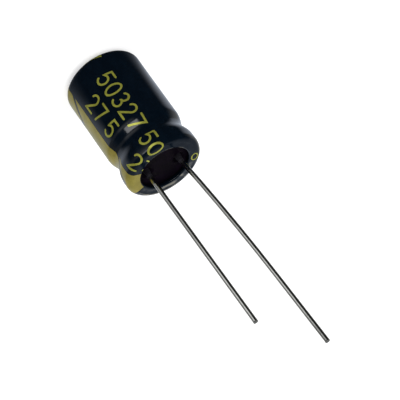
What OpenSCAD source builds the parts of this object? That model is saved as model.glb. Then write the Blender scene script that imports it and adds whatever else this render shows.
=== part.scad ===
// Radial aluminium electrolytic capacitor, millimetres.
// It stands on its closed head with the leads up: the origin is the middle of the head's underside,
// +Z runs along the axis to the leads, and the negative lead is on the +X side.

/* [Can] */
// Outer diameter of the drawn can
can_d = 8; // [7:0.1:10]
// Height of the finished body over the sleeve, from head to rim
body_h = 13.1; // [12:0.1:20]
// Wall of the can's side
can_wall = 0.3; // [0.2:0.01:0.36]
// Thickness of the can's closed head
head_wall = 0.35; // [0.25:0.01:0.6]
// Outer radius of the corner between head and side
head_corner_r = 0.75; // [0.5:0.05:1.2]
// Inner radius of the same corner
head_inner_r = 0.4; // [0.2:0.05:0.6]

/* [Vent score] */
// Length of each of the two crossed scores on the head
score_len = 4.6; // [3:0.1:5.6]
// Width of a score at the surface
score_w = 0.3; // [0.2:0.01:0.5]
// Depth of a score
score_depth = 0.18; // [0.1:0.01:0.22]

/* [Groove and rim] */
// Distance from the rim down to the middle of the rolled groove
groove_below_rim = 2.89; // [2.6:0.01:3.4]
// Depth of the groove in the can
groove_depth = 0.7; // [0.5:0.01:0.9]
// Radius of the groove's bottom, outside the can
groove_bottom_r = 0.5; // [0.3:0.01:0.8]
// Radius of the groove's two shoulders, outside the can
groove_shoulder_r = 1.59; // [1.2:0.01:1.8]
// Slope of the groove's flanks
groove_flank = 40; // [34:1:50]
// Outer radius of the curl's first bend
curl_r = 0.5; // [0.45:0.01:0.7]
// Width of the curl's flat crest
curl_crest = 0.2; // [0.1:0.01:0.4]
// Outer radius of the curl's lip
curl_lip_r = 0.4; // [0.38:0.01:0.5]

/* [Sleeve] */
// Thickness of the shrunk film
sleeve_t = 0.1; // [0.06:0.01:0.16]
// How far the film turns in over the head, from its side
sleeve_head_turn = 1.2; // [1:0.05:1.8]
// How far the film turns in over the rim, from its side
sleeve_rim_turn = 1.41; // [1.2:0.01:1.6]
// Radius of the bend where the film's edge turns down inside the rim
sleeve_lip_r = 0.15; // [0.13:0.01:0.3]
// Height of that edge over the bung's face
sleeve_lip_gap = 0.08; // [0.04:0.01:0.12]
// Slope at which the film leaves the groove's shoulders
film_flank = 20; // [12:1:24]
// Radius of the film's dip over the groove
film_dip_r = 1.73; // [1:0.01:3]

/* [Bung] */
// Height of the rubber bung
bung_h = 3.8; // [3.4:0.05:4.2]
// Depth of the bung's face below the rim
bung_recess = 0.45; // [0.42:0.01:0.5]
// Width of the countersink round each lead
well_d = 1.5; // [1:0.05:1.9]
// Depth of that countersink
well_depth = 0.25; // [0.1:0.01:0.4]

/* [Roll] */
// Thickness of the etched anode foil
anode_t = 0.1; // [0.08:0.005:0.12]
// Thickness of the cathode foil
cathode_t = 0.05; // [0.03:0.005:0.07]
// Thickness of each separator paper
paper_t = 0.05; // [0.03:0.005:0.07]
// Thickness of the tape that closes the roll
tape_t = 0.05; // [0.03:0.005:0.08]
// Radius of the hollow that the winding pin leaves
core_r = 0.6; // [0.4:0.05:0.9]
// How far the papers stand past the foils at each end
paper_margin = 0.5; // [0.3:0.05:0.8]
// How far the tape stays inside the foils' ends
tape_inset = 0.3; // [0.1:0.05:1]

/* [Tabs] */
// Width of a tab's flat paddle
tab_w = 1.5; // [1:0.05:1.7]
// Thickness of the paddle
tab_t = 0.2; // [0.15:0.01:0.25]
// Diameter of a tab's round stem
stem_d = 1.3; // [1:0.05:1.5]
// Height of the cone between paddle and stem
stem_cone_h = 0.5; // [0.3:0.05:0.6]
// Distance from the bung's face down to the stem's end
stem_stop = 1; // [0.8:0.05:1.4]

/* [Leads] */
// Distance between the two leads where they leave the bung
lead_pitch = 3.5; // [3.2:0.1:4]
// Diameter of the tinned wire
wire_d = 0.5; // [0.45:0.01:0.6]
// Diameter of the weld where the wire joins the stem
weld_d = 0.72; // [0.64:0.01:0.8]
// Height of the taper from weld to wire
weld_taper_h = 0.7; // [0.4:0.05:0.9]
// Diameter of the small bead where the wire leaves the taper
bead_d = 0.58; // [0.54:0.01:0.64]
// Length of the negative lead past the rim
negative_len = 19.7; // [15:0.1:25]
// Lean of the negative lead, towards the other lead where it is below zero
negative_lean = -0.77; // [-2:0.01:-0.3]
// Length of the positive lead past the rim
positive_len = 25; // [22:0.1:32]
// Outward lean of the positive lead at its root
positive_root_lean = 5.4; // [4:0.1:7]
// Outward lean of the positive lead's straight end
positive_end_lean = 1.9; // [1:0.1:3]
// Length of the positive lead's gentle bow
bow_len = 16.3; // [10:0.1:18]

/* [Clearances] */
// How much thinner the bowed wire is than the straight wire that it runs into
bow_thinning = 0.004; // [0.002:0.001:0.01]
// Between the film and the can
film_gap = 0.01; // [0.005:0.005:0.02]
// Between the bung and the can
bung_gap = 0.02; // [0.01:0.005:0.04]
// Between the stems or welds and the bung
hole_gap = 0.02; // [0.01:0.005:0.03]
// Between neighbouring layers of the roll
roll_gap = 0.005; // [0.004:0.001:0.006]
// Between the roll and the can's side, at least
roll_side_gap = 0.08; // [0.05:0.01:0.15]
// Between the papers and the corner of the can's head
roll_end_gap = 0.05; // [0.02:0.01:0.1]
// Between the papers and the cones of the tabs, and between the paddles and the bung
tab_gap = 0.1; // [0.05:0.01:0.2]

/* [Hidden] */
$fn = 72;
arc_steps = 5;

can_r = can_d / 2;
can_z = sleeve_t + film_gap;
rim_z = body_h - can_z;
groove_z = body_h - groove_below_rim;
skin_r = can_r + can_z;
head_flat_r = can_r - head_corner_r;
curl_centre_r = can_r - curl_r;
crest_inner_r = curl_centre_r - curl_crest;
lip_r = crest_inner_r - curl_lip_r;
lip_z = rim_z - curl_lip_r;
head_inner_z = can_z + head_wall;

bung_face_z = body_h - bung_recess;
bung_z = bung_face_z - bung_h;
bung_shoulder_z = lip_z - bung_gap;
bung_face_r = lip_r - bung_gap;
stem_top_z = bung_face_z - stem_stop;

// The roll: four layers to a turn, each in its own slot, wound as half turns about two centres
turn = ceil(250 * (anode_t + cathode_t + 2 * paper_t + 4 * roll_gap)) / 250;
inner_paper_slot = 0;
anode_slot = paper_t + roll_gap;
outer_paper_slot = anode_slot + anode_t + roll_gap;
cathode_slot = outer_paper_slot + paper_t + roll_gap;
tape_slot = anode_slot;

// The tabs: each lies on its foil in the half turn nearest to its lead
anode_lap = tab_lap(anode_slot + anode_t, 1);
cathode_lap = tab_lap(cathode_slot + cathode_t, 0);
anode_tab_r = layer_r(anode_lap, anode_slot + anode_t + roll_gap);
cathode_tab_r = layer_r(cathode_lap, cathode_slot + cathode_t + roll_gap);
tab_half = asin(tab_w / 2 / min(anode_tab_r, cathode_tab_r));
tab_room = ceil(1000 * ((tab_t + roll_gap) / cos(tab_half) + roll_gap)) / 1000;

roll_room = can_r - can_wall - roll_side_gap - tab_room - tape_slot - tape_t;
turns = floor((roll_room - core_r) / turn - 0.5);
last_lap = 2 * turns - 1;
// The papers clear the corner between the can's head and side
corner_rise = head_inner_r - sqrt(head_inner_r ^ 2 - (head_inner_r - roll_side_gap) ^ 2);
paper_z = head_inner_z + corner_rise + roll_end_gap;
paper_top_z = bung_z - stem_cone_h - tab_gap;
paper_h = paper_top_z - paper_z;
foil_z = paper_z + paper_margin;
foil_h = paper_h - 2 * paper_margin;
tape_z = foil_z + tape_inset;
tape_h = foil_h - 2 * tape_inset;
paddle_z = foil_z + paper_margin;
paddle_top_z = bung_z - tab_gap;

root_z = body_h;
weld_taper_z = root_z - weld_taper_h;

// Points on an arc about c, from angle a to angle b
function arc(c, r, a, b) =
    [for (i = [0 : arc_steps]) let (t = a + (b - a) * i / arc_steps) c + r * [cos(t), sin(t)]];

function reversed(points) = [for (i = [len(points) - 1 : -1 : 0]) points[i]];

// Half-width of a dip that two arcs and a straight flank make on each side, their radii summed
function dip_half_w(depth, radii, flank) = radii * tan(flank / 2) + depth / tan(flank);

// Outline of a dip in a wall of radius r, up the wall and d inside its outer surface
function dip_path(r, half_w, depth, bottom_r, shoulder_r, flank, d) = concat(
    arc([r - shoulder_r, groove_z - half_w], shoulder_r - d, 0, flank),
    arc([r - depth + bottom_r, groove_z], bottom_r + d, 180 + flank, 180 - flank),
    arc([r - shoulder_r, groove_z + half_w], shoulder_r - d, -flank, 0));

groove_half_w = dip_half_w(groove_depth, groove_bottom_r + groove_shoulder_r, groove_flank);
film_shoulder_r = groove_shoulder_r + can_z;
film_edge_r = skin_r - sleeve_rim_turn;
film_dip = (groove_half_w - (film_dip_r + film_shoulder_r) * tan(film_flank / 2)) * tan(film_flank);

// The can's outline from the middle of its head to the lip of its curl, d inside its outer surface
function can_path(d, head_z, corner_r) = concat(
    [[0, head_z]],
    arc([can_r - d - corner_r, head_z + corner_r], corner_r, -90, 0),
    dip_path(can_r, groove_half_w, groove_depth, groove_bottom_r, groove_shoulder_r, groove_flank, d),
    arc([curl_centre_r, rim_z - curl_r], curl_r - d, 0, 90),
    arc([crest_inner_r, lip_z], curl_lip_r - d, 90, 180));

// The film's outline from its edge on the head to its edge inside the rim, d inside its outer surface
function film_path(d) = concat(
    [[skin_r - sleeve_head_turn, d]],
    arc([head_flat_r, can_z + head_corner_r], head_corner_r + can_z - d, -90, 0),
    dip_path(skin_r, groove_half_w, film_dip, film_dip_r, film_shoulder_r, film_flank, d),
    arc([curl_centre_r, rim_z - curl_r], curl_r + can_z - d, 0, 90),
    arc([film_edge_r + sleeve_lip_r, body_h - sleeve_lip_r], sleeve_lip_r - d, 90, 180),
    [[film_edge_r + d, bung_face_z + sleeve_lip_gap]]);

// Half turn number lap: even ones are on the +X side, odd ones on the -X side
function layer_r(lap, slot) = core_r + lap * turn / 2 + slot;
function lap_side(lap) = lap % 2 == 0 ? 1 : -1;
function lap_centre(lap) = lap_side(lap) * turn / 4;
// The half turn of one side whose outer face comes nearest to a lead's axis
function tab_lap(slot_top, side) =
    side + 2 * round(((lead_pitch - tab_t) / 2 - core_r - slot_top - side * turn / 2) / turn);
// Layers outside a tab step outward to make room for it
function lap_step(lap, slot) =
    lap % 2 == 0 ? (lap > cathode_lap ? tab_room : 0)
    : lap > anode_lap || (lap == anode_lap && slot > anode_slot) ? tab_room : 0;

// The positive lead's bow, in the plane of the leads: its lean falls from root to end along an arc
bow_angle = positive_root_lean - positive_end_lean;
bow_r = bow_len / bow_angle * 180 / PI;
bow_overlap = 0.01 * bow_angle;
bow_centre = [lead_pitch / 2 - bow_r * cos(positive_root_lean), root_z + bow_r * sin(positive_root_lean)];
bow_end = bow_centre + bow_r * [cos(positive_end_lean), -sin(positive_end_lean)];

module sleeve() {
    color("#16182a")
        rotate_extrude()
            polygon(concat(film_path(0), reversed(film_path(sleeve_t))));
}

module can() {
    color("#c6c9cd")
        difference() {
            rotate_extrude()
                polygon(concat(can_path(0, can_z, head_corner_r),
                    reversed(can_path(can_wall, head_inner_z, head_inner_r))));
            vent_scores();
        }
}

// Two crossed V-grooves in the head
module vent_scores() {
    for (a = [45, 135])
        rotate([90, 0, a])
            translate([0, can_z, -score_len / 2])
                linear_extrude(score_len)
                    polygon([[-score_w / 2, 0], [0, score_depth], [score_w / 2, 0], [0, -score_depth]]);
}

module sealing_bung() {
    color("#221e24")
        difference() {
            rotate_extrude() {
                intersection() {
                    polygon(concat(can_path(can_wall + bung_gap, head_inner_z, head_inner_r), [[0, lip_z]]));
                    translate([0, bung_z])
                        square([can_r, bung_shoulder_z - bung_z]);
                }
                translate([0, bung_z])
                    square([bung_face_r, bung_h]);
            }
            for (side = [-1, 1])
                translate([side * lead_pitch / 2, 0, 0])
                    lead_hole();
        }
}

// Stepped hole that grips the stem and lets the weld through
module lead_hole() {
    translate([0, 0, bung_z - hole_gap])
        cylinder(h = stem_top_z - bung_z + 2 * hole_gap, d = stem_d + 2 * hole_gap);
    translate([0, 0, bung_z])
        cylinder(h = bung_h + hole_gap, d = weld_d + 2 * hole_gap);
    translate([0, 0, bung_face_z - well_depth])
        cylinder(h = well_depth + hole_gap, d1 = weld_d + 2 * hole_gap, d2 = well_d);
}

module positive_lead() {
    color("#b9bbbe")
        rotate(180) {
            lead_root();
            bow();
            straight(bow_end, positive_end_lean, positive_len - bow_len);
        }
}

module negative_lead() {
    color("#b9bbbe") {
        lead_root();
        straight([lead_pitch / 2, root_z], negative_lean, negative_len);
    }
}

// Weld on the stem's end, tapering to the bead that the wire leaves
module lead_root() {
    translate([lead_pitch / 2, 0, stem_top_z])
        cylinder(h = weld_taper_z - stem_top_z, d = weld_d);
    translate([lead_pitch / 2, 0, weld_taper_z])
        cylinder(h = weld_taper_h, d1 = weld_d, d2 = wire_d);
    translate([lead_pitch / 2, 0, root_z])
        sphere(d = bead_d);
}

// Bowed wire from the bead to just inside the straight end
module bow() {
    translate([bow_centre.x, 0, bow_centre.y])
        rotate([90, 0, 0])
            rotate(-positive_root_lean)
                rotate_extrude(angle = bow_angle + bow_overlap)
                    translate([bow_r, 0])
                        circle(d = wire_d - bow_thinning);
}

module straight(p, lean, length) {
    translate([p.x, 0, p.y])
        rotate([0, lean, 0])
            cylinder(h = length, d = wire_d);
}

module anode_tab() {
    color("#d2d4d6")
        rotate(180)
            tab(anode_lap, anode_tab_r);
}

module cathode_tab() {
    color("#d2d4d6")
        tab(cathode_lap, cathode_tab_r);
}

// Paddle curled with the roll, cone and round stem, on the +X side
module tab(lap, r) {
    translate([0, turn / 4, paddle_z])
        rotate(-tab_half)
            rotate_extrude(angle = 2 * tab_half)
                translate([r, 0])
                    square([tab_t, paddle_top_z - paddle_z]);
    translate([lead_pitch / 2, 0, bung_z - stem_cone_h])
        cylinder(h = stem_cone_h, d1 = tab_t, d2 = stem_d);
    translate([lead_pitch / 2, 0, bung_z])
        cylinder(h = stem_top_z - bung_z, d = stem_d);
}

module anode_foil() {
    color("#8f9498")
        winding(anode_slot, anode_t, 1, last_lap, foil_z, foil_h);
}

module cathode_foil() {
    color("#d5d7d9")
        winding(cathode_slot, cathode_t, 1, last_lap, foil_z, foil_h);
}

module inner_separator() {
    color("#dccfae")
        winding(inner_paper_slot, paper_t, 0, last_lap + 2, paper_z, paper_h);
}

module outer_separator() {
    color("#d3c49f")
        winding(outer_paper_slot, paper_t, 0, last_lap, paper_z, paper_h);
}

module fixing_tape() {
    color("#b99a62")
        winding(tape_slot, tape_t, last_lap + 1, last_lap + 2, tape_z, tape_h);
}

// One layer of the roll: half turns joined by the short flats that a tab's step needs
module winding(slot, t, first, last, z, h) {
    for (lap = [first : last]) {
        r = layer_r(lap, slot);
        step = lap_step(lap, slot);
        next_step = lap_step(lap + 1, slot);
        translate([lap_side(lap) * step, lap_centre(lap), z]) {
            rotate(-90 * lap_side(lap))
                rotate_extrude(angle = 180)
                    translate([r, 0])
                        square([t, h]);
        }
        if (lap < last && step + next_step > 0)
            flat(lap, r, t, step, next_step, z, h);
    }
}

// Flat between half turn number lap and the next one
module flat(lap, r, t, step, next_step, z, h) {
    side = lap_side(lap);
    translate([side > 0 ? -next_step : -step, lap_centre(lap) + side * (r + t / 2) - t / 2, z])
        cube([step + next_step, t, h]);
}

sleeve();
can();
sealing_bung();
positive_lead();
negative_lead();
anode_tab();
cathode_tab();
anode_foil();
cathode_foil();
inner_separator();
outer_separator();
fixing_tape();
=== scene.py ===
"""Dresses the radial electrolytic capacitor: its shrunk film and the print on it, the aluminium can,
the rubber bung, the tinned leads and the wound roll inside, on a plain white floor in soft light."""
import math

import bmesh
import bpy
from bpy.props import FloatProperty, FloatVectorProperty, PointerProperty, StringProperty
from bpy.types import Operator, Panel, PropertyGroup
from mathutils import Matrix, Vector


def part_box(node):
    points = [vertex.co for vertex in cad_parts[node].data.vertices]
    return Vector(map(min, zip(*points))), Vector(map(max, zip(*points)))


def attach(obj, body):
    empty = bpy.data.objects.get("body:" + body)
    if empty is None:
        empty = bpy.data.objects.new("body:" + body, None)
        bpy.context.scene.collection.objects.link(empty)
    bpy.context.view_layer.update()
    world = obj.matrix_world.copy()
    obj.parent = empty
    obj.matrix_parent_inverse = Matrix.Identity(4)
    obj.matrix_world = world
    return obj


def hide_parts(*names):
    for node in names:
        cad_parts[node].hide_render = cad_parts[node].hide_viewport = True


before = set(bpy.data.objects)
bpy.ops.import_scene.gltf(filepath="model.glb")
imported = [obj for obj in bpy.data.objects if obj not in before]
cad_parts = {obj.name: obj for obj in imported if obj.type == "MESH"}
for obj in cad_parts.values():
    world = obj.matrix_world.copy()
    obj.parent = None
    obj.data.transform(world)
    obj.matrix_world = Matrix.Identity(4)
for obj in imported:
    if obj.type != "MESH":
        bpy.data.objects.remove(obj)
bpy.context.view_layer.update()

bl_info = {
    "name": "Radial electrolytic capacitor",
    "version": (1, 0, 0),
    "blender": (4, 5, 0),
    "location": "3D View > Sidebar > Capacitor",
    "description": "Film, print, finishes and stage of a radial electrolytic capacitor",
    "category": "Object",
}

MM = 0.001

# The film's radius and the height of its rim
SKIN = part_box("sleeve")[1].x
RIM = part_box("sleeve")[1].z

# Azimuth of the film's line that faces the camera; the negative lead is at azimuth 0
NEAR_AZIMUTH = math.radians(-73.5)

# How finely the film is spun: steps round it, the turn from ring to ring in a bend, the step on a line
FILM_STEPS = 192
BEND_STEP = math.radians(5)
LINE_STEP = 0.5 * MM

# Edges that bend more than this stay sharp
CREASE = math.radians(35)

# How finely the stripe and the figures' strokes are divided, so that they follow the film
STRIPE_STEP = 0.16 * MM
STROKE_STEP = 0.14 * MM

# Film left bare past the print's ends, along the film's outline
BARE_AT_HEAD = 0.25 * MM
BARE_AT_RIM = 0.42 * MM

# Dark chevrons in the stripe, and a space between figures as a share of the step between them
CHEVRONS = 2
SPACE = 0.4

# Distances under which two points are one, and under which a point lies on a cutting plane
SAME_POINT = 1e-7
ON_PLANE = 1e-8


def sized(name, description, default, unit="LENGTH", **limits):
    """A size that the sidebar shows."""
    return FloatProperty(
        name=name, description=description, default=default, unit=unit, precision=5, **limits)


def tint(name, description, default):
    """A linear colour that the sidebar shows."""
    return FloatVectorProperty(
        name=name, description=description, default=default, size=3, subtype="COLOR", min=0, max=1)


# Sizes and colours


class FilmSizes(PropertyGroup):
    """The shrunk film."""
    thickness: sized("Film", "Thickness of the film", 0.1 * MM)
    head_turn: sized("Head turn", "How far the film turns in over the head", 1.2 * MM)
    rim_turn: sized("Rim turn", "How far the film turns in over the rim", 1.41 * MM)
    head_bend: sized("Head bend", "Outer radius of the film's bend at the head", 0.86 * MM)
    rim_bend: sized("Rim bend", "Outer radius of the film's bend at the rim", 0.61 * MM)
    lip_bend: sized("Lip bend", "Radius of the bend where the film's edge turns down", 0.15 * MM)
    lip_drop: sized("Lip drop", "How far the film's edge ends below the rim", 0.37 * MM)
    groove_drop: sized("Groove", "Distance from the rim to the middle of the groove", 2.89 * MM)
    groove_half: sized("Groove half", "Half-width of the groove", 1.595 * MM)
    shoulder_bend: sized("Shoulder bend", "Radius of the film over the groove's shoulders", 1.7 * MM)
    dip_bend: sized("Dip bend", "Radius of the film's dip over the groove", 1.73 * MM)
    flank: sized("Flank", "Slope of the film on both sides of its dip", math.radians(20), "ROTATION")
    colour: tint("Film colour", "Colour of the film", (0.0013, 0.0045, 0.0095))


class PrintSizes(PropertyGroup):
    """The ink on the film."""
    thickness: sized("Ink", "Thickness of the ink", 0.012 * MM)
    clearance: sized("Ink clearance", "Gap between the ink and the film", 0.003 * MM)
    head_pitch: sized("Head pitch", "Distance back to the print's last repeat", 9.35 * MM)
    rim_pitch: sized("Rim pitch", "Distance on to the print's next repeat", 8.5 * MM)
    stripe_start: sized("Stripe start", "Angle of the stripe's near edge from the facing line",
                        math.radians(53), "ROTATION")
    stripe_width: sized("Stripe width", "Angle that the stripe covers", math.radians(47), "ROTATION")
    chevron_z: sized("Chevron", "Height of the first chevron's ends", 1.4 * MM)
    chevron_reach: sized("Chevron reach", "How far each chevron points to the leads", 2.3 * MM)
    chevron_gap: sized("Chevron gap", "Width of the dark chevron along the can", 0.62 * MM)
    stroke: sized("Stroke", "Width of a figure's strokes", 0.22 * MM)
    figure_height: sized("Figure height", "Height of the figures", 1.74 * MM)
    figure_width: sized("Figure width", "Width of the figures", 1.03 * MM)
    figure_step: sized("Figure step", "Distance from one figure to the next", 1.53 * MM)
    first_base: sized("First line", "Angle of the first line's foot", math.radians(7.5), "ROTATION")
    first_z: sized("First line start", "Height at which the first line starts", 2.75 * MM)
    second_base: sized("Second line", "Angle of the second line's foot", math.radians(43), "ROTATION")
    second_z: sized("Second line start", "Height at which the second line starts", 3.85 * MM)
    small_scale: sized("Small line", "Size of the small line's figures over the others", 0.65, "NONE")
    small_base: sized("Small line foot", "Angle of the small line's foot", math.radians(-107), "ROTATION")
    small_end: sized("Small line end", "Distance from the small line's end to the film's edge", 0.57 * MM)
    first_line: StringProperty(name="First line", description="Plain figures of the first line",
                               default="50327")
    second_line: StringProperty(name="Second line", description="Plain figures of the second line",
                                default="27 5")
    small_line: StringProperty(name="Small line", description="Plain figures of the small line",
                               default="21 730")
    stripe_colour: tint("Stripe colour", "Colour of the stripe's gold ink", (0.31, 0.26, 0.046))
    figure_colour: tint("Figure colour", "Colour of the figures' gold ink", (0.37, 0.375, 0.055))


class FinishColours(PropertyGroup):
    """Colours of the other finishes."""
    aluminium: tint("Aluminium", "Drawn aluminium of the can", (0.70, 0.71, 0.72))
    rubber: tint("Rubber", "Rubber of the bung", (0.0026, 0.0014, 0.0034))
    tin: tint("Tin", "Tin on the lead wires", (0.62, 0.62, 0.60))
    paper: tint("Paper", "Separator paper", (0.66, 0.58, 0.40))
    tape: tint("Tape", "Tape that closes the roll", (0.42, 0.26, 0.09))
    anode_foil: tint("Anode foil", "Thick etched foil", (0.30, 0.32, 0.33))
    cathode_foil: tint("Cathode foil", "Thin foil", (0.62, 0.63, 0.64))


class StageLevels(PropertyGroup):
    """Light and floor."""
    world: sized("Room", "Strength of the room's light", 0.42, "NONE", min=0)
    side: sized("Side lamp", "Power of the soft lamp over the leads", 0.9, "POWER", min=0)
    front: sized("Front lamp", "Power of the low lamp in front", 0.5, "POWER", min=0)
    top: sized("Top lamp", "Power of the lamp overhead", 0.9, "POWER", min=0)


# Node trees


class Term:
    """A number that varies over a surface: arithmetic on it adds Math nodes."""

    def __init__(self, finish, socket):
        self.finish = finish
        self.socket = socket

    def maths(self, operation, *values):
        inputs = dict(enumerate(values))
        node = self.finish.node("ShaderNodeMath", {"operation": operation}, inputs)
        return Term(self.finish, node.outputs[0])

    def __add__(self, other):
        return self.maths("ADD", self, other)

    def __radd__(self, other):
        return self.maths("ADD", other, self)

    def __sub__(self, other):
        return self.maths("SUBTRACT", self, other)

    def __rsub__(self, other):
        return self.maths("SUBTRACT", other, self)

    def __mul__(self, other):
        return self.maths("MULTIPLY", self, other)

    def __rmul__(self, other):
        return self.maths("MULTIPLY", other, self)

    def __truediv__(self, other):
        return self.maths("DIVIDE", self, other)

    def __rtruediv__(self, other):
        return self.maths("DIVIDE", other, self)

    def __pow__(self, other):
        return self.maths("POWER", self, other)

    def highest(self, other):
        return self.maths("MAXIMUM", self, other)

    def rise(self, low, high):
        """0 below low and 1 above high, smooth between."""
        node = self.finish.node(
            "ShaderNodeMapRange", {"interpolation_type": "SMOOTHSTEP"},
            {"Value": self, "From Min": low, "From Max": high, "To Min": 0.0, "To Max": 1.0})
        return Term(self.finish, node.outputs["Result"])


class Finish:
    """A node tree: every node but the Math nodes comes from one method."""

    def __init__(self, tree):
        self.tree = tree
        tree.nodes.clear()

    def node(self, kind, settings=None, inputs=None):
        """A node of that type: its settings come first, then the values or links of its sockets."""
        node = self.tree.nodes.new(kind)
        for name, value in (settings or {}).items():
            setattr(node, name, value)
        for name, value in (inputs or {}).items():
            if isinstance(value, Term):
                value = value.socket
            if isinstance(value, bpy.types.NodeSocket):
                self.tree.links.new(value, node.inputs[name])
            else:
                node.inputs[name].default_value = value
        return node

    def place(self, scale=(1, 1, 1)):
        """The piece's own coordinates in millimetres, times a scale: under 1 it stretches a pattern."""
        coordinates = self.node("ShaderNodeTexCoord")
        mapping = self.node(
            "ShaderNodeMapping", None,
            {"Vector": coordinates.outputs["Object"], "Scale": tuple(s / MM for s in scale)})
        return mapping.outputs["Vector"]

    def axes(self, vector):
        """The three numbers of a vector."""
        split = self.node("ShaderNodeSeparateXYZ", None, {"Vector": vector})
        return [Term(self, socket) for socket in split.outputs]

    def noise(self, vector, scale, detail=3.0, rough=0.5):
        """Cloudy noise from 0 to 1."""
        node = self.node(
            "ShaderNodeTexNoise", None,
            {"Vector": vector, "Scale": scale, "Detail": detail, "Roughness": rough})
        return Term(self, node.outputs["Fac"])

    def cells(self, vector, scale):
        """Distance to the nearest of scattered points."""
        node = self.node("ShaderNodeTexVoronoi", None, {"Vector": vector, "Scale": scale})
        return Term(self, node.outputs["Distance"])

    def blend(self, factor, first, second):
        """The first colour at factor 0, the second at 1."""
        node = self.node(
            "ShaderNodeMix", {"data_type": "RGBA"},
            {0: factor, 6: opaque(first), 7: opaque(second)})
        return node.outputs[2]

    def bump(self, height, distance, strength, normal=None):
        """The surface's normal with that relief on it, over another relief's normal if one is given."""
        inputs = {"Height": height, "Distance": distance, "Strength": strength}
        if normal is not None:
            inputs["Normal"] = normal
        return self.node("ShaderNodeBump", None, inputs).outputs["Normal"]

    def surface(self, **inputs):
        """The shader of a solid, joined to the output: base_color sets the socket Base Color."""
        sockets = {}
        for name, value in inputs.items():
            sockets[name.replace("_", " ").title().replace("Ior", "IOR")] = value
        shader = self.node("ShaderNodeBsdfPrincipled", None, sockets)
        self.node("ShaderNodeOutputMaterial", None, {"Surface": shader.outputs["BSDF"]})


def opaque(colour):
    """A colour with its alpha, or the link as it is."""
    if isinstance(colour, bpy.types.NodeSocket):
        return colour
    return (*colour, 1.0)


def scaled(colour, factor):
    """A lighter or darker colour."""
    return tuple(min(1.0, channel * factor) for channel in colour)


def new_finish(name):
    """A material and the maker of its nodes."""
    material = bpy.data.materials.new(name)
    material.use_nodes = True
    return material, Finish(material.node_tree)


def dress(node, material):
    """Gives a CAD node its material in every slot."""
    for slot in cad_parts[node].material_slots:
        slot.material = material


# Materials


def film_finish(colour):
    """Glossy dark blue film: long shrink waves, puckers and a slight dome on the rim, fine orange peel,
    rubbed spots."""
    material, f = new_finish("dark_shrink_film")
    rim = RIM / MM
    waves = f.noise(f.place((1, 1, 0.35)), 0.55, 1.0)
    x, y, height = f.axes(f.place())
    puckers = f.noise(f.place(), 0.7, 1.0) * height.rise(rim - 0.5, rim - 0.02)
    dome = ((x * x + y * y) ** 0.5).rise(2.6, 3.4)
    peel = f.noise(f.place(), 5.0, 2.0)
    rub = f.noise(f.place((1, 1, 0.5)), 1.3, 5.0, 0.65)
    base = f.blend(rub.rise(0.35, 0.75), scaled(colour, 0.85), scaled(colour, 1.3))
    soft = f.bump(waves + 3.5 * puckers - 1.7 * dome, 0.05 * MM, 0.5)
    f.surface(
        base_color=base, roughness=0.10 + 0.07 * rub.rise(0.4, 0.8), specular_ior_level=0.38,
        normal=f.bump(peel, 0.001 * MM, 0.5, soft))
    return material


def ink_finish(name, colour):
    """Gold ink: fine metal flakes in a semi-gloss binder, thinner in places."""
    material, f = new_finish(name)
    flakes = f.noise(f.place(), 26.0, 2.0, 0.6)
    clouds = f.noise(f.place(), 1.1, 4.0, 0.6)
    shade = f.blend(clouds.rise(0.3, 0.7), scaled(colour, 0.86), scaled(colour, 1.12))
    base = f.blend(flakes.rise(0.45, 0.75) * 0.35, shade, scaled(colour, 1.6))
    f.surface(
        base_color=base, metallic=0.35, roughness=0.22 + 0.16 * flakes, specular_ior_level=0.3,
        normal=f.bump(flakes, 0.003 * MM, 0.5))
    return material


def aluminium_finish(colour):
    """Drawn aluminium: fine lines along the can, faint rings on the head, dull spots."""
    material, f = new_finish("drawn_aluminium")
    lines = f.noise(f.place((1, 1, 0.05)), 16.0, 3.0, 0.6)
    dull = f.noise(f.place(), 0.9, 4.0, 0.6)
    base = f.blend(dull.rise(0.35, 0.7), scaled(colour, 0.88), colour)
    f.surface(
        base_color=base, metallic=1.0, roughness=0.24 + 0.16 * dull + 0.08 * lines,
        normal=f.bump(lines, 0.004 * MM, 0.5))
    return material


def rubber_finish(colour):
    """Moulded rubber: matt, finely pitted, with a dusty bloom."""
    material, f = new_finish("dark_rubber")
    pits = f.cells(f.place(), 9.0)
    grain = f.noise(f.place(), 14.0, 4.0, 0.65)
    bloom = f.noise(f.place(), 1.2, 5.0, 0.6)
    base = f.blend(bloom.rise(0.4, 0.8), colour, scaled(colour, 2.2))
    f.surface(
        base_color=base, roughness=0.55 + 0.16 * bloom, specular_ior_level=0.03,
        normal=f.bump(grain + 0.4 * pits, 0.012 * MM, 0.6))
    return material


def tin_finish(name, colour, end):
    """Tinned wire: bright, with fine drawing lines, soft dents and dull spots, stained at the weld and
    darkened there near-black as painted shade of the bung's recess up to just above the rim, and darker on
    the face cut at its end, which is at that height."""
    material, f = new_finish(name)
    rim = RIM / MM
    # Near-black colour: a weld stain and painted shade where the wire leaves the bung's recess
    stain_and_shade_colour = (0.022, 0.02, 0.028)
    lines = f.noise(f.place((1, 1, 0.04)), 22.0, 3.0, 0.6)
    dents = f.noise(f.place((1, 1, 0.5)), 2.2, 2.0, 0.5)
    dull = f.noise(f.place((1, 1, 0.3)), 1.6, 5.0, 0.65)
    height = f.axes(f.place())[2]
    weld = 1 - height.rise(rim + 0.1, rim + 0.4)
    # Weld stain and painted shade of the recess, fading out just above the rim
    stain_and_shade_mask = 1 - height.rise(rim + 0.2, rim + 0.7)
    cut = height.rise(end / MM - 0.1, end / MM - 0.05)
    clean = f.blend(dull.rise(0.4, 0.75), colour, scaled(colour, 0.72))
    base = f.blend(cut, f.blend(stain_and_shade_mask, clean, stain_and_shade_colour), scaled(colour, 0.3))
    soft = f.bump(dents, 0.03 * MM, 0.5)
    worn = 0.08 + 0.10 * dull + 0.04 * lines
    f.surface(
        base_color=base, metallic=1 - 0.7 * weld, roughness=worn + 0.35 * weld + 0.2 * stain_and_shade_mask + 0.3 * cut,
        normal=f.bump(lines, 0.003 * MM, 0.25, soft))
    return material


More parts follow.
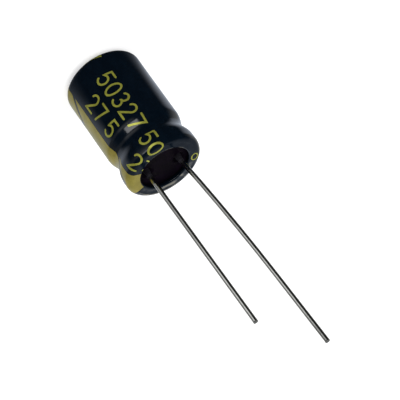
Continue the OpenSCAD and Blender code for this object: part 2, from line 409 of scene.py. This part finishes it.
def tab_finish(colour):
    """Pressed aluminium of the tabs: satin with rolling marks."""
    material, f = new_finish("pressed_tab")
    marks = f.noise(f.place((1, 1, 0.1)), 12.0, 3.0)
    base = f.blend(marks.rise(0.3, 0.7), scaled(colour, 0.82), colour)
    f.surface(
        base_color=base, metallic=1.0, roughness=0.34 + 0.14 * marks, normal=f.bump(marks, 0.006 * MM, 0.5))
    return material


def foil_finish(name, colour, grain_scale, roughness):
    """Etched foil: matt grey metal with a fine grain."""
    material, f = new_finish(name)
    grain = f.noise(f.place(), grain_scale, 4.0, 0.7)
    base = f.blend(grain.rise(0.3, 0.7), scaled(colour, 0.8), colour)
    f.surface(
        base_color=base, metallic=0.85, roughness=roughness + 0.15 * grain,
        normal=f.bump(grain, 0.006 * MM, 0.6))
    return material


def paper_finish(colour):
    """Separator paper soaked with electrolyte: fibres along the winding, darker wet clouds."""
    material, f = new_finish("separator_paper")
    fibres = f.noise(f.place((1, 1, 3.0)), 6.0, 5.0, 0.7)
    wet = f.noise(f.place(), 0.7, 3.0)
    shade = f.blend(fibres.rise(0.3, 0.7), scaled(colour, 0.86), colour)
    base = f.blend(wet.rise(0.4, 0.7) * 0.5, shade, scaled(colour, 0.6))
    f.surface(
        base_color=base, roughness=0.62 - 0.2 * wet.rise(0.4, 0.7), normal=f.bump(fibres, 0.01 * MM, 0.6))
    return material


def tape_finish(colour):
    """Amber film tape: smooth, with faint drag lines."""
    material, f = new_finish("amber_tape")
    lines = f.noise(f.place((1, 1, 4.0)), 4.0, 3.0)
    base = f.blend(lines.rise(0.3, 0.7), scaled(colour, 0.88), colour)
    f.surface(base_color=base, roughness=0.28 + 0.1 * lines, normal=f.bump(lines, 0.004 * MM, 0.5))
    return material


# The film's outline and what is wrapped on it


def film_corners(film):
    """Corners of the film's outer outline, from its edge on the head to its edge inside the rim, each as
    radius, height and the radius of its bend."""
    groove = RIM - film.groove_drop
    shoulder = film.shoulder_bend * math.tan(film.flank / 2)
    drop = (film.groove_half - shoulder) * math.tan(film.flank)
    return [
        (SKIN - film.head_turn, 0.0, 0.0),
        (SKIN, 0.0, film.head_bend),
        (SKIN, groove - film.groove_half + shoulder, film.shoulder_bend),
        (SKIN - drop, groove, film.dip_bend),
        (SKIN, groove + film.groove_half - shoulder, film.shoulder_bend),
        (SKIN, RIM, film.rim_bend),
        (SKIN - film.rim_turn, RIM, film.lip_bend),
        (SKIN - film.rim_turn, RIM - film.lip_drop, 0.0),
    ]


class FilmPath:
    """The film's outer outline as lines and bends, read by the distance walked along it."""

    def __init__(self, film):
        corners = film_corners(film)
        points = [Vector((r, z)) for r, z, _ in corners]
        bends = [bend for _, _, bend in corners]
        self.parts = []
        self.length = 0.0
        start = points[0]
        for before, corner, after, bend in zip(points, points[1:], points[2:], bends[1:]):
            along = (corner - before).normalized()
            onward = (after - corner).normalized()
            turn = math.atan2(along.x * onward.y - along.y * onward.x, along.dot(onward))
            setback = bend * math.tan(abs(turn) / 2)
            self.add_line(start, corner - along * setback)
            start = corner + onward * setback
            self.add_bend(corner - along * setback, along, bend, turn)
        self.add_line(start, points[-1])

    def add_line(self, start, end):
        length = (end - start).length
        self.parts.append((self.length, length, start, (end - start).normalized(), None, 0.0))
        self.length += length

    def add_bend(self, start, along, bend, turn):
        length = bend * abs(turn)
        self.parts.append((self.length, length, start, along, bend, turn))
        self.length += length

    def at(self, distance):
        """Point and outward normal, as radius and height, at that distance along the outline."""
        part = self.parts[0]
        for candidate in self.parts:
            if candidate[0] <= distance:
                part = candidate
        begin, length, start, along, bend, turn = part
        walked = distance - begin
        normal = Vector((along.y, -along.x))
        if bend is None:
            return start + along * walked, normal
        side = math.copysign(1.0, turn)
        centre = start - normal * bend * side
        angle = walked / bend * side
        cos, sin = math.cos(angle), math.sin(angle)
        turned = Vector((normal.x * cos - normal.y * sin, normal.x * sin + normal.y * cos))
        return centre + turned * bend * side, turned

    def distance_at_height(self, height):
        """Distance along the outline at which it passes a height on its way up, found by halving."""
        low, high = 0.0, self.length
        for _ in range(40):
            middle = (low + high) / 2
            if self.at(middle)[0].y < height:
                low = middle
            else:
                high = middle
        return low

    def printed_span(self):
        """Distances at which the print begins near the head and ends inside the rim."""
        return BARE_AT_HEAD, self.length - BARE_AT_RIM

    def rings(self):
        """Distances at which the film gets a ring: close in bends, wide on lines."""
        stops = []
        for begin, length, _, _, bend, turn in self.parts:
            count = max(4, round(abs(turn) / BEND_STEP)) if bend else max(1, round(length / LINE_STEP))
            stops += [begin + length * i / count for i in range(count)]
        return stops + [self.length]


def wrap(bm, path, clearance):
    """Lays a flat mesh on the film: x runs along the outline, y round the can as an angle from the facing
    line times the film's radius, and z stands off the film."""
    for vert in bm.verts:
        point, normal = path.at(vert.co.x)
        off = point + normal * (clearance + vert.co.z)
        angle = NEAR_AZIMUTH + vert.co.y / SKIN
        vert.co = (off.x * math.cos(angle), off.x * math.sin(angle), off.y)


def finished_piece(name, bm, material):
    """Turns a bmesh into a piece that rides on the body, smooth but for its creases."""
    mesh = bpy.data.meshes.new(name)
    for face in bm.faces:
        face.smooth = True
    for edge in bm.edges:
        edge.smooth = edge.calc_face_angle(0.0) < CREASE
    bm.to_mesh(mesh)
    bm.free()
    mesh.materials.append(material)
    piece = bpy.data.objects.new(name, mesh)
    bpy.context.scene.collection.objects.link(piece)
    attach(piece, "root")
    return piece


# Sleeve


class CAPACITOR_OT_sleeve(Operator):
    """Spins the shrunk film from its outline"""
    bl_idname = "capacitor.sleeve"
    bl_label = "Shrunk film"

    def execute(self, context):
        film = context.scene.capacitor_film
        path = FilmPath(film)
        bm = bmesh.new()
        verts = []
        for distance in path.rings():
            point, _ = path.at(distance)
            verts.append(bm.verts.new((point.x, 0, point.y)))
        edges = [bm.edges.new(pair) for pair in zip(verts, verts[1:])]
        bmesh.ops.spin(
            bm, geom=verts + edges, cent=(0, 0, 0), axis=(0, 0, 1), dvec=(0, 0, 0), angle=2 * math.pi,
            steps=FILM_STEPS, use_merge=True, use_duplicate=False)
        bmesh.ops.remove_doubles(bm, verts=bm.verts, dist=SAME_POINT)
        bmesh.ops.recalc_face_normals(bm, faces=bm.faces)
        if sum(face.normal.dot(face.calc_center_median()) for face in bm.faces) < 0:
            bmesh.ops.reverse_faces(bm, faces=bm.faces)
        bmesh.ops.solidify(bm, geom=bm.faces, thickness=film.thickness)
        piece = finished_piece("film_sleeve", bm, film_finish(film.colour))
        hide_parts("sleeve")
        return {"FINISHED"}


# Print


def strip_sheet(bm, start, end, foot, head):
    """Adds a flat grid from start to end along the outline and from foot to head round the can."""
    columns = max(1, round((end - start) / STRIPE_STEP))
    rows = max(1, round((head - foot) / STRIPE_STEP))
    middle = Matrix.Translation(((start + end) / 2, (foot + head) / 2, 0))
    bmesh.ops.create_grid(
        bm, x_segments=columns, y_segments=rows, size=0.5,
        matrix=middle @ Matrix.Diagonal((end - start, head - foot, 1, 1)))


def cut_chevron(bm, tip, middle, half, reach, gap):
    """Takes a chevron out of the flat stripe: its tip points to the leads, on the stripe's middle."""
    for side in (-1, 1):
        slant = Vector((reach, -side * half, 0)).normalized()
        across = Vector((-slant.y, slant.x, 0)) * side
        for ahead in (0.0, gap):
            here = [face for face in bm.faces if side * (face.calc_center_median().y - middle) > 0]
            geometry = set(here)
            for face in here:
                geometry.update(face.edges)
                geometry.update(face.verts)
            bmesh.ops.bisect_plane(
                bm, geom=list(geometry), plane_co=(tip + ahead, middle, 0), plane_no=across,
                dist=ON_PLANE)
    inside = []
    for face in bm.faces:
        centre = face.calc_center_median()
        behind = tip - abs(centre.y - middle) / half * reach
        if behind < centre.x < behind + gap:
            inside.append(face)
    bmesh.ops.delete(bm, geom=inside, context="FACES")


def thicken_flat(bm, thickness):
    """Gives a flat sheet its thickness upwards: the sheet is turned down and becomes the underside."""
    bmesh.ops.recalc_face_normals(bm, faces=bm.faces)
    if bm.faces[:][0].normal.z > 0:
        bmesh.ops.reverse_faces(bm, faces=bm.faces)
    made = bmesh.ops.extrude_face_region(bm, geom=bm.faces[:], use_keep_orig=True)
    raised = [item for item in made["geom"] if isinstance(item, bmesh.types.BMVert)]
    bmesh.ops.translate(bm, verts=raised, vec=(0, 0, thickness))


class CAPACITOR_OT_stripe(Operator):
    """Prints the gold stripe that marks the negative lead"""
    bl_idname = "capacitor.stripe"
    bl_label = "Negative stripe"

    def execute(self, context):
        film = context.scene.capacitor_film
        ink = context.scene.capacitor_print
        path = FilmPath(film)
        foot = ink.stripe_start * SKIN
        head = foot + ink.stripe_width * SKIN
        middle = (foot + head) / 2
        bm = bmesh.new()
        strip_sheet(bm, *path.printed_span(), foot, middle)
        strip_sheet(bm, *path.printed_span(), middle, head)
        bmesh.ops.remove_doubles(bm, verts=bm.verts, dist=SAME_POINT)
        first = path.distance_at_height(ink.chevron_z)
        for repeat in range(CHEVRONS):
            tip = first + ink.chevron_reach + repeat * ink.rim_pitch
            cut_chevron(bm, tip, middle, head - middle, ink.chevron_reach, ink.chevron_gap)
        thicken_flat(bm, ink.thickness)
        wrap(bm, path, ink.clearance)
        finished_piece("negative_stripe", bm, ink_finish("stripe_ink", ink.stripe_colour))
        return {"FINISHED"}


def bow(centre, radii, start, end, steps=14):
    """Points on an arc of a figure, in shares of its width and height."""
    points = []
    for i in range(steps + 1):
        angle = math.radians(start + (end - start) * i / steps)
        points.append((centre[0] + radii[0] * math.cos(angle), centre[1] + radii[1] * math.sin(angle)))
    return points


# Strokes of the figures, x along the line and y up from its foot, in shares of width and height
FIGURES = {
    "0": bow((0.5, 0.5), (0.5, 0.5), 90, 450, 32),
    "1": [(0.2, 0.78), (0.55, 1.0), (0.55, 0.0)],
    "2": bow((0.48, 0.72), (0.46, 0.28), 165, -35) + [(0.0, 0.0), (1.0, 0.0)],
    "3": bow((0.45, 0.75), (0.42, 0.25), 150, -80) + bow((0.45, 0.26), (0.5, 0.26), 80, -150),
    "5": [(0.92, 1.0), (0.14, 1.0), (0.06, 0.55)] + bow((0.45, 0.32), (0.5, 0.32), 125, -150),
    "7": [(0.0, 1.0), (1.0, 1.0), (0.35, 0.0)],
}


def evenly(points, step, closed):
    """The same line with points no further apart than step."""
    line = [Vector((x, y, 0)) for x, y in points]
    filled = [line[0]]
    for before, after in zip(line, line[1:]):
        count = max(1, math.ceil((after - before).length / step))
        filled += [before.lerp(after, i / count) for i in range(1, count + 1)]
    return filled[:-1] if closed else filled


def stroke_stations(points, half, closed):
    """Places along a stroke with its half-width there: round at both ends, full between."""
    if closed:
        return [(point, half) for point in points]
    first = (points[0] - points[1]).normalized()
    last = (points[-1] - points[-2]).normalized()
    angles = [math.radians(a) for a in (88, 70, 50, 30, 12)]
    opening = [(points[0] + first * half * math.sin(a), half * math.cos(a)) for a in angles]
    closing = [(points[-1] + last * half * math.sin(a), half * math.cos(a)) for a in reversed(angles)]
    return opening + [(point, half) for point in points] + closing


def ribbon(bm, stations, closed):
    """A flat ribbon along the stations: the line is extruded once and its sides moved apart."""
    centre = [bm.verts.new(point) for point, _ in stations]
    pairs = list(zip(centre, centre[1:]))
    if closed:
        pairs.append((centre[-1], centre[0]))
    edges = [bm.edges.new(pair) for pair in pairs]
    made = bmesh.ops.extrude_edge_only(bm, edges=edges)
    mates = {}
    for item in made["geom"]:
        if isinstance(item, bmesh.types.BMVert):
            mates[tuple(round(c * 1e9) for c in item.co)] = item
    count = len(stations)
    for i, (point, half) in enumerate(stations):
        before = stations[(i - 1) % count if closed else max(i - 1, 0)][0]
        after = stations[(i + 1) % count if closed else min(i + 1, count - 1)][0]
        arriving = (point - before).normalized() if point != before else (after - point).normalized()
        leaving = (after - point).normalized() if after != point else arriving
        along = (arriving + leaving).normalized()
        reach = half / max(0.5, along.dot(leaving))
        aside = Vector((-along.y, along.x, 0)) * reach
        mates[tuple(round(c * 1e9) for c in point)].co = point - aside
        centre[i].co = point + aside


def line_length(text, ink, scale):
    """Distance that a line of figures covers."""
    spaces = text.count(" ")
    steps = len(text) - spaces - 1 + SPACE * spaces
    return (steps * ink.figure_step + ink.figure_width) * scale


def print_line(bm, text, start, base, ink, span, scale=1.0):
    """Writes figures flat: they advance along the outline, and their tops point away from the stripe.
    Figures that miss the printed span, or only graze it, are left out."""
    left = start
    for figure in text:
        if figure == " ":
            left += SPACE * ink.figure_step * scale
            continue
        if figure not in FIGURES:
            raise ValueError("only the figures " + " ".join(sorted(FIGURES)) + " can be printed")
        if left + ink.figure_width * scale > span[0] + ink.stroke and left < span[1] - ink.stroke:
            points = [
                (left + x * ink.figure_width * scale, base * SKIN - y * ink.figure_height * scale)
                for x, y in FIGURES[figure]]
            closed = figure == "0"
            line = evenly(points, STROKE_STEP, closed)
            ribbon(bm, stroke_stations(line, ink.stroke / 2 * scale, closed), closed)
        left += ink.figure_step * scale


class CAPACITOR_OT_figures(Operator):
    """Prints the plain figures: two lines that repeat along the film, and a small line at the back"""
    bl_idname = "capacitor.figures"
    bl_label = "Printed figures"

    def execute(self, context):
        film = context.scene.capacitor_film
        ink = context.scene.capacitor_print
        path = FilmPath(film)
        span = path.printed_span()
        bm = bmesh.new()
        for text, height, base in (
                (ink.first_line, ink.first_z, ink.first_base),
                (ink.second_line, ink.second_z, ink.second_base)):
            start = path.distance_at_height(height)
            for shift in (-ink.head_pitch, 0.0, ink.rim_pitch):
                print_line(bm, text, start + shift, base, ink, span)
        end = path.length - ink.small_end
        start = end - line_length(ink.small_line, ink, ink.small_scale)
        print_line(bm, ink.small_line, start, ink.small_base, ink, span, ink.small_scale)
        for edge, outward in zip(span, (-1, 1)):
            bmesh.ops.bisect_plane(
                bm, geom=bm.verts[:] + bm.edges[:] + bm.faces[:], plane_co=(edge, 0, 0),
                plane_no=(outward, 0, 0), dist=ON_PLANE, clear_outer=True)
        thicken_flat(bm, ink.thickness)
        wrap(bm, path, ink.clearance)
        finished_piece("printed_figures", bm, ink_finish("figure_ink", ink.figure_colour))
        return {"FINISHED"}


# Finishes of the CAD nodes


class CAPACITOR_OT_can(Operator):
    """Finishes the drawn can and the rubber bung"""
    bl_idname = "capacitor.can"
    bl_label = "Can and bung"

    def execute(self, context):
        colours = context.scene.capacitor_colours
        dress("can", aluminium_finish(colours.aluminium))
        dress("sealing_bung", rubber_finish(colours.rubber))
        return {"FINISHED"}


class CAPACITOR_OT_leads(Operator):
    """Finishes the two tinned leads"""
    bl_idname = "capacitor.leads"
    bl_label = "Leads"

    def execute(self, context):
        tin = context.scene.capacitor_colours.tin
        for lead in ("positive_lead", "negative_lead"):
            dress(lead, tin_finish("tinned_" + lead, tin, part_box(lead)[1].z))
        return {"FINISHED"}


class CAPACITOR_OT_roll(Operator):
    """Finishes the tabs, foils, papers and tape of the roll inside"""
    bl_idname = "capacitor.roll"
    bl_label = "Roll inside"

    def execute(self, context):
        colours = context.scene.capacitor_colours
        tabs = tab_finish(colours.aluminium)
        dress("anode_tab", tabs)
        dress("cathode_tab", tabs)
        dress("anode_foil", foil_finish("etched_anode_foil", colours.anode_foil, 18.0, 0.6))
        dress("cathode_foil", foil_finish("thin_cathode_foil", colours.cathode_foil, 10.0, 0.36))
        paper = paper_finish(colours.paper)
        dress("inner_separator", paper)
        dress("outer_separator", paper)
        dress("fixing_tape", tape_finish(colours.tape))
        return {"FINISHED"}


# Stage

# Distance of each lamp from the point that it looks at
LAMP_DISTANCE = 0.45

# The camera's lens and sensor in millimetres, its place, and its right, up and backward directions
LENS = 208.52
SENSOR = 36
EYE = Vector((54.43, -183.67, 131.964)) * MM
EYE_AXES = (
    (-0.86451587, 0.04913141, 0.50019837),
    (-0.43692627, -0.56534411, -0.69962952),
    (0.24841042, -0.82339064, 0.51021576),
)


def toward(azimuth, elevation):
    """The direction at that azimuth and elevation, in degrees."""
    a, e = math.radians(azimuth), math.radians(elevation)
    return Vector((math.cos(e) * math.cos(a), math.cos(e) * math.sin(a), math.sin(e)))


def soft_lamp(name, azimuth, elevation, size, power, aim=0.01):
    """A rectangular lamp that looks at the can's axis, at the height aim, from azimuth and elevation."""
    light = bpy.data.lights.new(name, "AREA")
    light.shape = "RECTANGLE"
    light.size, light.size_y = size
    light.energy = power
    lamp = bpy.data.objects.new(name, light)
    away = toward(azimuth, elevation)
    lamp.location = Vector((0, 0, aim)) + away * LAMP_DISTANCE
    lamp.rotation_euler = away.to_track_quat("Z", "Y").to_euler()
    lamp.visible_camera = False
    bpy.context.scene.collection.objects.link(lamp)
    return lamp


def floor_finish():
    """Pale floor. The camera sees it white, with the object's shadow. Reflections see a painted glow
    instead, standing in for the studio's light and shade: close to the can dark in front as painted shade
    and pale behind, further out dark but for a painted beam of light ahead, the left side and the back."""
    material, f = new_finish("pale_floor")
    ways = f.node("ShaderNodeLightPath")
    camera_ray = Term(f, ways.outputs["Is Camera Ray"])
    glossy_ray = Term(f, ways.outputs["Is Glossy Ray"])
    clear_ray = Term(f, ways.outputs["Is Transmission Ray"])
    lit = f.node("ShaderNodeBsdfDiffuse", None, {"Color": opaque((0.62, 0.62, 0.62))})
    glow = f.node("ShaderNodeEmission", None, {"Strength": 0.62 * camera_ray.highest(clear_ray)})
    seen = f.node("ShaderNodeAddShader", None, {0: lit.outputs[0], 1: glow.outputs[0]})
    x, y, _ = f.axes(f.place())
    away = (x * x + y * y) ** 0.5
    ahead = toward(math.degrees(NEAR_AZIMUTH), 0)
    front = (x * ahead.x + y * ahead.y) / away
    left = (y * ahead.x - x * ahead.y) / away
    turn = math.radians(20)
    beam = (front * math.cos(turn) + left * math.sin(turn)).rise(0.87, 0.99)
    # Painted shade: the glow that reflections see is dark close to the can on its front side, pale behind
    near = 0.02 + 0.75 * y.rise(-4.2, 3.0)
    # Painted light further out: a beam ahead and pale glow on the left and at the back, for the leads to
    # mirror
    far = 0.02 + beam * (0.35 + 0.5 * away.rise(30.0, 55.0))
    far = far + 0.22 * left.rise(-0.3, 0.15) + 0.5 * (0 - front).rise(0.1, 0.6)
    far = far * (1 - 0.8 * away.rise(70.0, 90.0) * front.rise(-0.1, 0.5))
    outside = away.rise(22.0, 27.0)
    cast = f.blend(outside, (0.87, 0.95, 1.09), (0.97, 0.98, 0.97))
    mirrored = f.node(
        "ShaderNodeEmission", None, {"Color": cast, "Strength": near * (1 - outside) + far * outside})
    mixed = f.node(
        "ShaderNodeMixShader", None, {0: glossy_ray, 1: seen.outputs[0], 2: mirrored.outputs[0]})
    f.node("ShaderNodeOutputMaterial", None, {"Surface": mixed.outputs[0]})
    return material


def lay_floor(scene):
    """Lays the floor just under the head."""
    bm = bmesh.new()
    bmesh.ops.create_grid(bm, x_segments=1, y_segments=1, size=1.5)
    mesh = bpy.data.meshes.new("floor")
    bm.to_mesh(mesh)
    bm.free()
    mesh.materials.append(floor_finish())
    floor = bpy.data.objects.new("floor", mesh)
    floor.location.z = -0.02 * MM
    scene.collection.objects.link(floor)


def fill_room(scene, level):
    """Fills the room with plain light of that level. The camera sees white; reflections see a dim room,
    paler behind the object, with a small warm patch low there that the rim mirrors."""
    world = bpy.data.worlds.new("room")
    world.use_nodes = True
    scene.world = world
    f = Finish(world.node_tree)
    ways = f.node("ShaderNodeLightPath")
    camera_ray = Term(f, ways.outputs["Is Camera Ray"])
    glossy_ray = Term(f, ways.outputs["Is Glossy Ray"])
    x, y, z = f.axes(f.node("ShaderNodeTexCoord").outputs["Generated"])
    low = toward(102, 17)
    patch = (low.x * x + low.y * y + low.z * z).rise(0.987, 0.996)
    tinge = f.blend(patch, (0.88, 0.97, 1.12), (1.1, 1.03, 0.8))
    mirrored = 0.03 + 0.3 * y.rise(-0.1, 0.4) + 0.4 * y.rise(0.8, 0.94) + 1.9 * patch
    strength = level + (1.0 - level) * camera_ray + (mirrored - level) * glossy_ray
    background = f.node(
        "ShaderNodeBackground", None,
        {"Color": f.blend(glossy_ray, (1.0, 1.0, 1.0), tinge), "Strength": strength})
    f.node("ShaderNodeOutputWorld", None, {"Surface": background.outputs[0]})


class CAPACITOR_OT_stage(Operator):
    """Sets up the floor, the soft lamps, the room's light and the camera"""
    bl_idname = "capacitor.stage"
    bl_label = "Stage and camera"

    def execute(self, context):
        scene = context.scene
        levels = scene.capacitor_stage
        scene.view_settings.view_transform = "Standard"

        lay_floor(scene)
        soft_lamp("side_lamp", 60, 48, (0.30, 0.30), levels.side).visible_glossy = False
        soft_lamp("top_lamp", -150, 62, (0.30, 0.30), levels.top).visible_glossy = False
        soft_lamp("front_lamp", -66, 5, (0.34, 0.09), levels.front, aim=0.012)

        fill_room(scene, levels.world)

        camera_data = bpy.data.cameras.new("camera")
        camera_data.lens = LENS
        camera_data.sensor_width = SENSOR
        camera_data.clip_start = 0.005
        camera = bpy.data.objects.new("camera", camera_data)
        columns = Matrix(EYE_AXES).transposed().to_4x4()
        camera.matrix_world = Matrix.Translation(EYE) @ columns
        scene.collection.objects.link(camera)
        scene.camera = camera
        return {"FINISHED"}


class CAPACITOR_PT_panel(Panel):
    """Lists the pieces in the 3D view's sidebar"""
    bl_idname = "CAPACITOR_PT_panel"
    bl_label = "Electrolytic capacitor"
    bl_space_type = "VIEW_3D"
    bl_region_type = "UI"
    bl_category = "Capacitor"

    def draw(self, context):
        for operator in OPERATORS:
            self.layout.operator(operator.bl_idname)
        for group in GROUPS:
            box = self.layout.box()
            values = getattr(context.scene, group)
            for name in values.bl_rna.properties.keys():
                if name not in ("rna_type", "name"):
                    box.prop(values, name)


GROUPS = {
    "capacitor_film": FilmSizes,
    "capacitor_print": PrintSizes,
    "capacitor_colours": FinishColours,
    "capacitor_stage": StageLevels,
}
OPERATORS = (
    CAPACITOR_OT_stage,
    CAPACITOR_OT_sleeve,
    CAPACITOR_OT_stripe,
    CAPACITOR_OT_figures,
    CAPACITOR_OT_can,
    CAPACITOR_OT_leads,
    CAPACITOR_OT_roll,
)


def register():
    for name, group in GROUPS.items():
        bpy.utils.register_class(group)
        setattr(bpy.types.Scene, name, PointerProperty(type=group))
    for operator in OPERATORS:
        bpy.utils.register_class(operator)
    bpy.utils.register_class(CAPACITOR_PT_panel)


def unregister():
    bpy.utils.unregister_class(CAPACITOR_PT_panel)
    for operator in reversed(OPERATORS):
        bpy.utils.unregister_class(operator)
    for name, group in reversed(GROUPS.items()):
        delattr(bpy.types.Scene, name)
        bpy.utils.unregister_class(group)


def main():
    register()
    bpy.ops.capacitor.stage()
    bpy.ops.capacitor.sleeve()
    bpy.ops.capacitor.stripe()
    bpy.ops.capacitor.figures()
    bpy.ops.capacitor.can()
    bpy.ops.capacitor.leads()
    bpy.ops.capacitor.roll()


if __name__ == "__main__":
    main()
